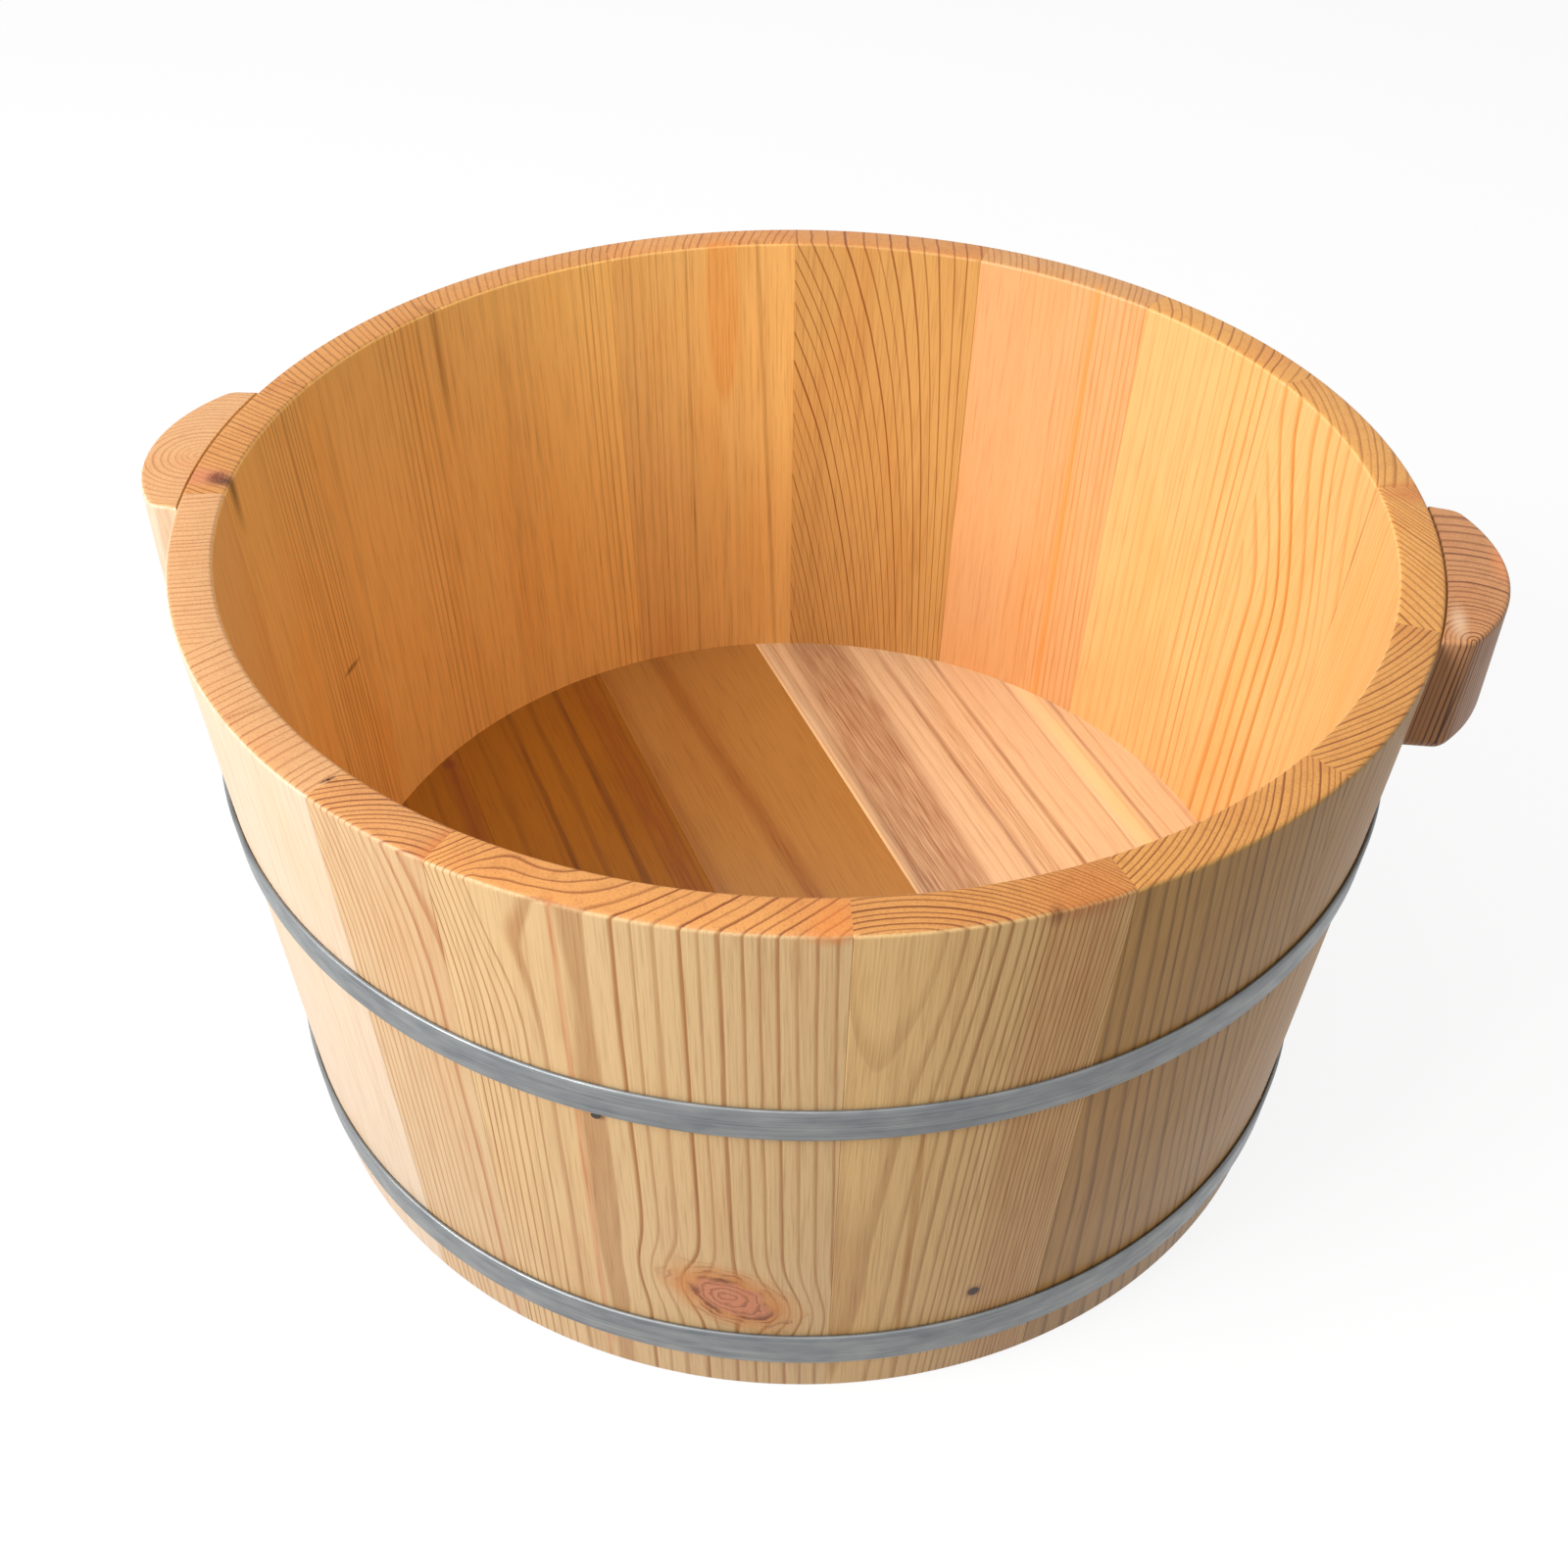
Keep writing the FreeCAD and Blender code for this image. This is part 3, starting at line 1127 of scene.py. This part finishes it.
@dataclass
class Hoops:
    """Two closed zinc-coated bands with rolled edges."""

    wall: Wall
    band: float = 1.5
    fit: float = 0.15
    edge_round: float = 0.7
    steps: int = 240
    round_steps: int = 3
    levels: tuple[tuple[str, float, float], ...] = (("upper_hoop", 140.5, 13.0), ("lower_hoop", 17.5, 15.5))

    def section(self, bottom: float, height: float) -> Section:
        """Section of a band that follows the wall's lean."""
        inside = [self.wall.outer_radius(level) + self.fit for level in (bottom, bottom + height)]
        return Section((
            (inside[0], bottom, self.edge_round),
            (inside[0] + self.band, bottom, self.edge_round),
            (inside[1] + self.band, bottom + height, self.edge_round),
            (inside[1], bottom + height, self.edge_round),
        ))

    def build(self, shape: TurnedShape, bench: Bench) -> None:
        """Turn, dress and place both bands.

        Args:
            shape: The tree that turns sections.
            bench: What places the pieces.
        """
        material = Zinc().material("zinc_band")
        for node, bottom, height in self.levels:
            mesh = shape.turn("rolled_" + node, self.section(bottom, height), {
                "Start": 0.0,
                "Sweep": math.tau,
                "Ease Angle": 0.0,
                "Ease Share": 0.0,
                "Base Middle": 0.0,
                "Slope": 0.0,
                "Steps": self.steps,
                "Round Steps": self.round_steps,
                "Close Ends": False,
                "Material": material,
            })
            bench.place("rolled_" + node, mesh, material, "hoop_steel", node)
        bench.dress("hoop_brad", BluedSteel().material("blued_nail"))


@dataclass
class Floor:
    """The floor's edge-glued boards, with fine eased joints."""

    top: float = 36.0
    turn: float = 31.8
    thickness: float = 15.0
    joint_ease: float = 0.25
    ease_steps: int = 2
    flat_angle: float = 2.0
    sharp_angle: float = 30.0
    first_seed: float = 200.0
    seed_step: float = 5.17
    cuts: list[Cut] = field(default_factory=list)

    def eased_copy(self, node: str) -> bpy.types.Mesh:
        """Mesh of a CAD board with its edges eased.

        Args:
            node: The CAD node.

        Returns:
            A new mesh; the node's own is left alone.
        """
        shape = bmesh.new()
        shape.from_mesh(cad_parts[node].data)
        close_up(shape)
        bmesh.ops.dissolve_limit(
            shape,
            angle_limit=math.radians(self.flat_angle),
            verts=shape.verts,
            edges=shape.edges,
        )
        least = math.radians(self.sharp_angle)
        sharp = [edge for edge in shape.edges if edge.calc_face_angle(0.0) > least]
        bmesh.ops.bevel(
            shape,
            geom=sharp,
            offset=self.joint_ease * MM,
            offset_type="OFFSET",
            segments=self.ease_steps,
            profile=0.5,
            affect="EDGES",
            clamp_overlap=True,
        )
        close_up(shape)
        mesh = bpy.data.meshes.new("eased_" + node)
        shape.to_mesh(mesh)
        shape.free()
        return mesh

    def build(self, bench: Bench) -> None:
        """Ease, dress and place every board.

        Args:
            bench: What places the pieces.
        """
        finish = Pine(thickness=self.thickness, roughness=0.38, shine=0.5, coat=0.6, coat_roughness=0.22)
        for number, cut in enumerate(self.cuts, 1):
            node = f"floor_board_{number}"
            seed = self.first_seed + number * self.seed_step
            material = finish.material(f"fir_{node}", cut, self.turn, (0.0, 0.0, self.top), seed, True)
            bench.place("eased_" + node, self.eased_copy(node), material, "floor_wood", node)


@dataclass
class Handles:
    """Two block handles, level with the rim and hollowed to the leaning wall."""

    wall: Wall
    length: float = 76.0
    height: float = 42.0
    reach: float = 19.0
    face_radius: float = 58.0
    end_lean: float = 6.0
    corner_round: float = 6.5
    top_round: float = 1.6
    lower_round: float = 5.5
    glue_line: float = 0.15
    corner_steps: int = 10
    face_steps: int = 26
    back_steps: int = 20
    round_steps: int = 6
    first_seed: float = 90.0
    cuts: dict[str, tuple[float, Cut]] = field(default_factory=dict)

    def levels(self) -> list[tuple[float, float]]:
        """Height and inset of each row, from the lower edge to the top."""
        bottom = self.wall.height - self.height
        rows = []
        for step in range(self.round_steps + 1):
            angle = math.pi / 2 * step / self.round_steps
            inset = self.lower_round * (1 - math.sin(angle))
            rows.append((bottom + self.lower_round * (1 - math.cos(angle)), inset))
        for step in range(self.round_steps + 1):
            angle = math.pi / 2 * step / self.round_steps
            inset = self.top_round * (1 - math.cos(angle))
            rows.append((self.wall.height - self.top_round * (1 - math.sin(angle)), inset))
        return rows

    def corner(self) -> tuple[Vector, Vector, Vector, Vector]:
        """The rounded corner's centre, with the side line's point, direction and outward normal."""
        half = self.length / 2
        lean = math.radians(self.end_lean)
        seam = Vector((math.sqrt(self.wall.rim_radius ** 2 - half ** 2), half))
        along = Vector((math.cos(lean), -math.sin(lean)))
        normal = Vector((math.sin(lean), math.cos(lean)))
        start = seam - normal * self.corner_round - Vector((self.face_centre(), 0.0))
        reach = self.face_radius - self.corner_round
        share = -start.dot(along) + math.sqrt(start.dot(along) ** 2 - start.dot(start) + reach ** 2)
        centre = start + along * share + Vector((self.face_centre(), 0.0))
        return centre, seam, along, normal

    def face_centre(self) -> float:
        """Distance of the bowed face's centre from the tub's axis."""
        return self.wall.rim_radius + self.reach - self.face_radius

    def outline(self, height: float, inset: float) -> list[Vector]:
        """Plan of the handle at one height, drawn in by an inset.

        Args:
            height: Millimetres above the base.
            inset: Millimetres that the outer edge is drawn in.

        Returns:
            Points round the outside and back along the wall.
        """
        centre, seam, along, normal = self.corner()
        wall = self.wall.outer_radius(height) + self.glue_line
        base = seam - normal * inset
        root = -base.dot(along) + math.sqrt(base.dot(along) ** 2 - base.dot(base) + wall ** 2)
        at_wall = base + along * root
        small = self.corner_round - inset
        first = math.atan2(normal.y, normal.x)
        outward = centre - Vector((self.face_centre(), 0.0))
        last = math.atan2(outward.y, outward.x)
        half = [at_wall]
        for step in range(self.corner_steps + 1):
            angle = first + (last - first) * step / self.corner_steps
            half.append(centre + spoke(angle) * small)
        face = []
        for step in range(1, self.face_steps):
            angle = last - 2 * last * step / self.face_steps
            face.append(Vector((self.face_centre(), 0.0)) + spoke(angle) * (self.face_radius - inset))
        mirrored = [Vector((point.x, -point.y)) for point in reversed(half)]
        back_angle = math.atan2(at_wall.y, at_wall.x)
        back = []
        for step in range(1, self.back_steps):
            angle = -back_angle + 2 * back_angle * step / self.back_steps
            back.append(spoke(angle) * wall)
        return half + face + mirrored + back

    def mesh(self, name: str, turn: float) -> bpy.types.Mesh:
        """Closed block of one handle.

        Args:
            name: Name of the mesh.
            turn: Degrees that the handle stands at.

        Returns:
            The mesh, in place.
        """
        shape = bmesh.new()
        turned = Matrix.Rotation(math.radians(turn), 3, "Z")
        rows = []
        for height, inset in self.levels():
            points = [turned @ Vector((point.x, point.y, height)) for point in self.outline(height, inset)]
            rows.append([shape.verts.new(point * MM) for point in points])
        for lower, upper in zip(rows, rows[1:]):
            for index in range(len(lower)):
                following = (index + 1) % len(lower)
                shape.faces.new((lower[index], lower[following], upper[following], upper[index]))
        shape.faces.new(rows[-1])
        shape.faces.new(list(reversed(rows[0])))
        close_up(shape)
        mesh = bpy.data.meshes.new(name)
        shape.to_mesh(mesh)
        shape.free()
        return mesh

    def build(self, bench: Bench) -> None:
        """Shape, dress and place both handles.

        Args:
            bench: What places the pieces.
        """
        finish = Pine(thickness=20.0, lean=self.wall.lean(), line_width=1.6)
        for node, (turn, cut) in self.cuts.items():
            shift = (self.wall.rim_radius, 0.0, self.wall.height)
            material = finish.material(f"pine_{node}", cut, turn, shift, self.first_seed + turn)
            bench.place("shaped_" + node, self.mesh("shaped_" + node, turn), material, "handle_wood", node)


@dataclass(frozen=True)
class Lamp:
    """A large square lamp: watts, metres across and away, and degrees round and up."""

    name: str
    power: float
    size: float
    distance: float
    azimuth: float
    elevation: float
    aim_height: float = 0.12

    def hang(self) -> None:
        """Hang the lamp and point it at the tub."""
        azimuth = math.radians(self.azimuth)
        elevation = math.radians(self.elevation)
        level = math.cos(elevation)
        away = Vector((math.cos(azimuth) * level, math.sin(azimuth) * level, math.sin(elevation)))
        data = bpy.data.lights.new(self.name, "AREA")
        data.energy = self.power
        data.size = self.size
        lamp = stand(self.name, data)
        lamp.location = away * self.distance + Vector((0.0, 0.0, self.aim_height))
        lamp.rotation_euler = away.to_track_quat("Z", "Y").to_euler()


@dataclass(frozen=True)
class Studio:
    """Camera at the photograph's angle, a pale floor and soft light from the left."""

    lens: float = 42.18
    clip_start: float = 0.01
    distance: float = 0.5098
    height: float = 0.5397
    turn: float = 8.8
    yaw: float = -0.0114
    pitch: float = 0.7122
    roll: float = 0.0141
    ambient: float = 0.28
    lamps: tuple[Lamp, ...] = (
        Lamp("key", 60.0, 1.2, 2.2, 219.0, 35.0),
        Lamp("top", 15.0, 1.5, 1.7, 250.0, 84.0),
    )
    floor_half: float = 4.0
    floor_drop: float = 0.0002
    floor_glow: float = 0.88
    floor_colour: Colour = rgb(250, 250, 250)
    floor_bounce: Colour = rgb(176, 162, 142)

    def camera(self) -> None:
        """Stand the camera where the photograph was taken from."""
        turned = Matrix.Rotation(math.radians(self.turn), 3, "Z")
        sideways = math.sin(self.yaw) * math.cos(self.pitch)
        ahead = math.cos(self.yaw) * math.cos(self.pitch)
        forward = Vector((sideways, ahead, -math.sin(self.pitch)))
        level = Vector((math.cos(self.yaw), -math.sin(self.yaw), 0.0))
        upright = level.cross(forward)
        right = math.cos(self.roll) * level + math.sin(self.roll) * upright
        up = math.cos(self.roll) * upright - math.sin(self.roll) * level
        data = bpy.data.cameras.new("photo_camera")
        data.lens = self.lens
        data.clip_start = self.clip_start
        camera = stand("photo_camera", data)
        axes = Matrix([turned @ right, turned @ up, turned @ -forward]).transposed()
        place = turned @ Vector((0.0, -self.distance, self.height))
        camera.matrix_world = Matrix.Translation(place) @ axes.to_4x4()
        bpy.context.scene.camera = camera

    def seen(self, nodes: Nodes) -> Value:
        """One for rays that the eye, a gloss or a glass sends."""
        paths = nodes.node("ShaderNodeLightPath").outputs
        names = ("Is Camera Ray", "Is Glossy Ray", "Is Transmission Ray")
        rays = [Value(nodes, paths[name]) for name in names]
        return rays[0].at_least(rays[1]).at_least(rays[2])

    def floor(self) -> None:
        """Lay the pale floor, which keeps the tub's shadow."""
        mesh = bpy.data.meshes.new("studio_floor")
        corners = ((-1, -1), (1, -1), (1, 1), (-1, 1))
        points = [(x * self.floor_half, y * self.floor_half, -self.floor_drop) for x, y in corners]
        mesh.from_pydata(points, [], [(0, 1, 2, 3)])
        shader = Shader("studio_floor")
        colour = shader.mix(self.seen(shader), self.floor_bounce, self.floor_colour)
        matt = shader.node("ShaderNodeBsdfDiffuse", None, {"Color": colour})
        glow = shader.node("ShaderNodeEmission", None, {"Color": (1, 1, 1, 1), "Strength": 1.0})
        share = self.seen(shader) * self.floor_glow
        mixed = shader.node("ShaderNodeMixShader", None, {0: share, 1: matt.outputs[0], 2: glow.outputs[0]})
        shader.node("ShaderNodeOutputMaterial", None, {"Surface": mixed.outputs[0]})
        mesh.materials.append(shader.material)
        plane = stand("studio_floor", mesh)

    def world(self) -> None:
        """Even light from all round, white to the eye."""
        world = bpy.data.worlds.new("studio")
        world.use_nodes = True
        bpy.context.scene.world = world
        nodes = Nodes(world.node_tree)
        strength = self.seen(nodes) * (1 - self.ambient) + self.ambient
        light = nodes.node("ShaderNodeBackground", None, {"Color": (1, 1, 1, 1), "Strength": strength})
        nodes.node("ShaderNodeOutputWorld", None, {"Surface": light.outputs[0]})

    def build(self) -> None:
        """Set up the whole studio."""
        bpy.context.scene.view_settings.view_transform = "Standard"
        self.camera()
        self.floor()
        self.world()
        for lamp in self.lamps:
            lamp.hang()


BROWN = rgb(140, 82, 34)
DARK = rgb(70, 36, 16)
AMBER = rgb(214, 128, 44)
RUSSET = rgb(186, 104, 52)
THROUGH = 40.0
FULL = 400.0
INNER = -14.0


def stave_cuts() -> list[Cut]:
    """How each stave was cut, from the first one on."""
    return [
        Cut(-175, -121, 2.0, Tone.YELLOW, finer=0.02, end_contrast=1.0, inner_contrast=0.45, marks=(
            Mark((36, -7, 0), (8, 14, 16), RUSSET, 0.55, hard=0.1),)),
        Cut(-157, 52, 2.8, Tone.YELLOW, crown=-9.0, end_contrast=0.8, inner_contrast=0.6, zones=(
            Zone(4, 22, 0.3),), marks=(
            Mark((-37, -7, 0), (5, 14, 14), RUSSET, 0.5, hard=0.1),
            Mark((35, INNER, -80), (2.5, 6, 48), AMBER, 0.4),
            Mark((-35, INNER, -30), (1.1, 6, 46), BROWN, 0.8),)),
        Cut(-57, 70, 4.0, Tone.YELLOW, end_contrast=0.85, inner_contrast=0.35, zones=(
            Zone(-22, 16, 0.4),)),
        Cut(-50, 100, 2.8, Tone.PEACH, end_contrast=0.75, inner_contrast=0.12, zones=(
            Zone(-22, 20, 0.6),), marks=(
            Mark((-14, INNER, -100), (2.6, 8, FULL), rgb(222, 146, 58), 0.6, hard=0.0),)),
        Cut(-57, 260, 6.0, Tone.ORANGE, fan=Fan(-34.0, 1.0, 118.0), end_contrast=1.0,
            inner_contrast=1.0),
        Cut(-50, -110, 3.2, Tone.HONEY, end_contrast=0.6, inner_contrast=0.06, zones=(
            Zone(22, 12, 0.3),), marks=(
            Mark((-25, INNER, -100), (1.6, 6, FULL), BROWN, 0.5, lean=0.03, hard=0.0),
            Mark((-7.5, INNER, -20), (7, 6, 52), AMBER, 0.35, hard=0.8),
            Mark((7, INNER, -100), (1.2, 6, FULL), BROWN, 0.35, hard=0.0),)),
        Cut(-60, -110, 3.0, Tone.TAN, end_contrast=0.6, inner_contrast=0.07, zones=(
            Zone(-30, 10, 0.35),)),
        Cut(-60, -120, 2.8, Tone.TAN, end_contrast=0.8, inner_contrast=0.06, zones=(
            Zone(-14, 11, 0.4),), marks=(
            Mark((-31, INNER, -10), (3, 9, 52), BROWN, 0.4),)),
        Cut(-60, -130, 2.3, Tone.TAN, end_contrast=0.8, inner_contrast=0.07, zones=(
            Zone(-15, 14, 0.55),), marks=(
            Mark((28, -6, 0), (8, 14, 6), rgb(188, 112, 80), 0.7, hard=0.2),
            Mark((29, INNER, 0), (5, 8, 26), DARK, 0.9, hard=0.0),
            Mark((27, -11, 0), (5, 5, 8), rgb(104, 40, 14), 0.8, hard=0.1, streaks=1.2),
            Mark((-21, INNER, -111), (9, 4, 1.8), DARK, 0.6, lean=-0.6),)),
        Cut(-20, -150, 2.4, Tone.PALE, end_contrast=0.75, outer_contrast=0.08, inner_contrast=0.1),
        Cut(-20, 90, 3.4, Tone.PALE, end_contrast=0.8, outer_contrast=0.06, inner_contrast=0.1, marks=(
            Mark((-2, -5, 0), (1.3, 14, 5), BROWN, 0.45, hard=0.0),
            Mark((37.6, -12, 0), (0.8, 3.4, 4), DARK, 1.0),)),
        Cut(27, 31, 2.0, Tone.ROSE, end_contrast=1.0, outer_contrast=0.8, flare=8.0, marks=(
            Mark((20.5, -8, 0), (5, 14, 6), RUSSET, 0.6, hard=0.0),)),
        Cut(-34, -20, 3.5, Tone.HONEY, phase=-0.55, flare=9.0, wander=0.3, end_contrast=1.0,
            outer_contrast=0.9, fold=Fold(27.0, (2.0, 3.7), (2.6, 5.6)), marks=(
            Mark((50, -8, 0), (9, 20, 5), rgb(206, 116, 50), 0.5, hard=0.2),
            Mark((-20, 0, -120), (1.6, 6, FULL), RUSSET, 0.45),), knots=(
            Knot(21.7, -171, 12.0, 9.5),)),
        Cut(50, -32, 1.6, Tone.TAN, phase=0.38, finer=0.02, crown=-2.0, drift=0.05, wander=0.2,
            end_contrast=1.0, outer_contrast=0.4, zones=(
            Zone(16, 24, 0.4), Zone(25, 14, 0.2),), marks=(
            Mark((24, -5, 0), (20, 20, 8), rgb(176, 96, 40), 0.4, hard=0.2),
            Mark((14.5, 0, 0), (3.2, 4.5, 8), DARK, 0.7, hard=0.0),
            Mark((24, 0, -100), (17, 6, FULL), rgb(176, 104, 44), 0.28, hard=0.5),
            Mark((-12.5, 0, -150), (1.8, 6, 110), rgb(168, 112, 40), 0.6),
            Mark((11.0, 0, -177), (4.6, 8, 5.4), BROWN, 0.8, hard=0.0),
            Mark((11.0, 0, -177), (2.4, 8, 2.8), rgb(54, 20, 2), 1.0, hard=0.6, streaks=0.0),)),
        Cut(-111, -60, 1.8, Tone.OLIVE, drift=-0.12, end_contrast=1.0, outer_contrast=0.75),
        Cut(-157, 60, 2.0, Tone.OLIVE, end_contrast=1.0, outer_contrast=0.35),
    ]


def floor_cuts() -> list[Cut]:
    """How each floor board was cut, from the left one on, with places across the whole floor; the pale line
    on the fourth board's joint is a painted highlight.
    """
    russet, brown, pale_streak_and_highlight = rgb(130, 66, 22), rgb(96, 46, 12), rgb(244, 206, 148)
    return [
        Cut(-160, -190, 4.4, Tone.NUT, outer_contrast=0.5, marks=(
            Mark((-105, 0, 133), (3.5, THROUGH, 4), rgb(92, 36, 40), 0.8),
            Mark((-104, 0, 0), (7, THROUGH, FULL), russet, 0.6),)),
        Cut(-220, -160, 5.0, Tone.NUT, outer_contrast=0.4, marks=(
            Mark((-73, 0, 0), (2.2, THROUGH, FULL), brown, 0.8, hard=0.0),
            Mark((-50, 0, 0), (2.2, THROUGH, FULL), brown, 0.8, hard=0.0),
            Mark((-35, 0, 0), (9, THROUGH, FULL), russet, 0.7, hard=0.0, streaks=1.0),)),
        Cut(-300, -120, 9.0, Tone.WALNUT, outer_contrast=0.06, marks=(
            Mark((-24, 0, 0), (5, THROUGH, FULL), russet, 0.4, hard=0.0),
            Mark((9, 0, 0), (7, THROUGH, FULL), russet, 0.6, lean=-0.05, hard=0.0),)),
        Cut(-200, -90, 3.4, Tone.FAWN, outer_contrast=0.3, marks=(
            # Painted highlight: the pale line on the joint with the third board stands for light on the
            # joint's varnish ridge.
            Mark((47.4, 0, 0), (1.0, THROUGH, FULL), pale_streak_and_highlight, 0.8),
            Mark((63.0, 0, 0), (18, THROUGH, FULL), russet, 0.5, lean=0.06, hard=0.6, streaks=0.7),
            Mark((52.0, 0, 0), (3, THROUGH, FULL), brown, 0.35, hard=0.0),)),
        Cut(-220, -60, 5.5, Tone.FAWN, outer_contrast=0.35, marks=(
            Mark((96, 0, 0), (1.6, THROUGH, FULL), russet, 0.7, hard=0.0),
            Mark((103, 0, 0), (8, THROUGH, FULL), russet, 0.25, hard=0.0, streaks=1.2),
            Mark((117, 0, 0), (2.0, THROUGH, FULL), russet, 0.6, hard=0.0),)),
        Cut(-220, 40, 5.0, Tone.FAWN, outer_contrast=0.4, marks=(
            Mark((153, 0, 0), (1.6, THROUGH, FULL), russet, 0.55, hard=0.0),
            Mark((147, 0, 0), (6, THROUGH, FULL), pale_streak_and_highlight, 0.6),)),
    ]


def handle_cuts() -> dict[str, tuple[float, Cut]]:
    """Angle and cut of each handle by its node."""
    return {
        "right_handle": (-2.1, Cut(6, -36, 3.0, Tone.CEDAR, finer=-0.02, stretch=1.2,
            end_contrast=1.0, outer_contrast=1.0, inner_contrast=1.0, marks=(
            Mark((-27, 2, 0), (13, 4, 3), rgb(224, 192, 158), 0.55, hard=0.0),
            Mark((10, 17, 0), (18, 5, 6), rgb(230, 140, 84), 0.5, hard=0.0),))),
        "left_handle": (182.7, Cut(1, 6, 2.2, Tone.PALE, end_contrast=0.6, outer_contrast=0.4)),
    }


def main() -> None:
    """Build the foot bath and its studio."""
    logging.basicConfig(level=logging.INFO, format="%(name)s: %(message)s")
    bench = Bench()
    shape = TurnedShape()
    wall = Wall(cuts=stave_cuts())
    Studio().build()
    wall.build(shape, bench)
    Hoops(wall).build(shape, bench)
    Floor(cuts=floor_cuts()).build(bench)
    Handles(wall, cuts=handle_cuts()).build(bench)


if __name__ == "__main__":
    main()
